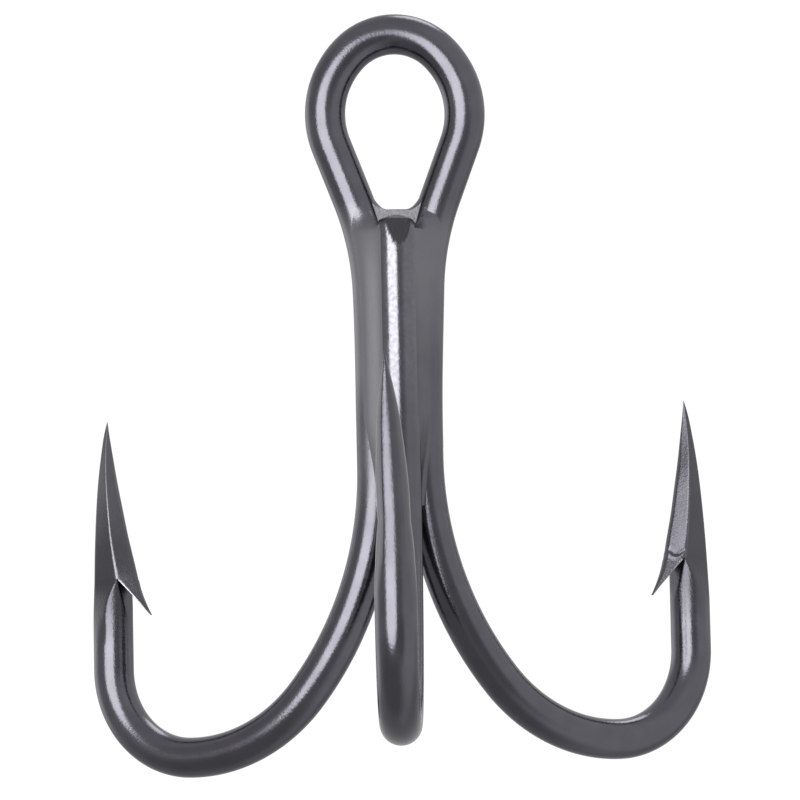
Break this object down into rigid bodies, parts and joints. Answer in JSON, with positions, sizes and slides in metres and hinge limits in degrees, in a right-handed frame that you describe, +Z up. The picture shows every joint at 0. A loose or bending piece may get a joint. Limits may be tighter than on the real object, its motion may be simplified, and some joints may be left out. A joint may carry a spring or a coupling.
{
  "type": "treble hook",
  "caption": "Treble fishing hook: round-wire teardrop eye, brazed shank and barbed needle-point hooks spread evenly around it.",
  "frame": {"origin": "centre of the line eye, in the plane of the eye", "axes": "+Z up along the shank from the bends to the eye, -Y along the single front hook, X across the eye"},
  "size_m": [0.031, 0.0268, 0.0373],
  "materials": {
    "plated_wire": "black nickel plate over high-carbon steel wire, satin gloss with fine draw lines",
    "plated_braze": "black nickel plate over silver-brass braze, slightly grainy"
  },
  "bodies": {
    "root": {"double_hook_wire": "plated_wire", "single_hook_wire": "plated_wire", "core_braze": "plated_braze", "front_left_braze": "plated_braze", "front_right_braze": "plated_braze"}
  },
  "joints": []
}
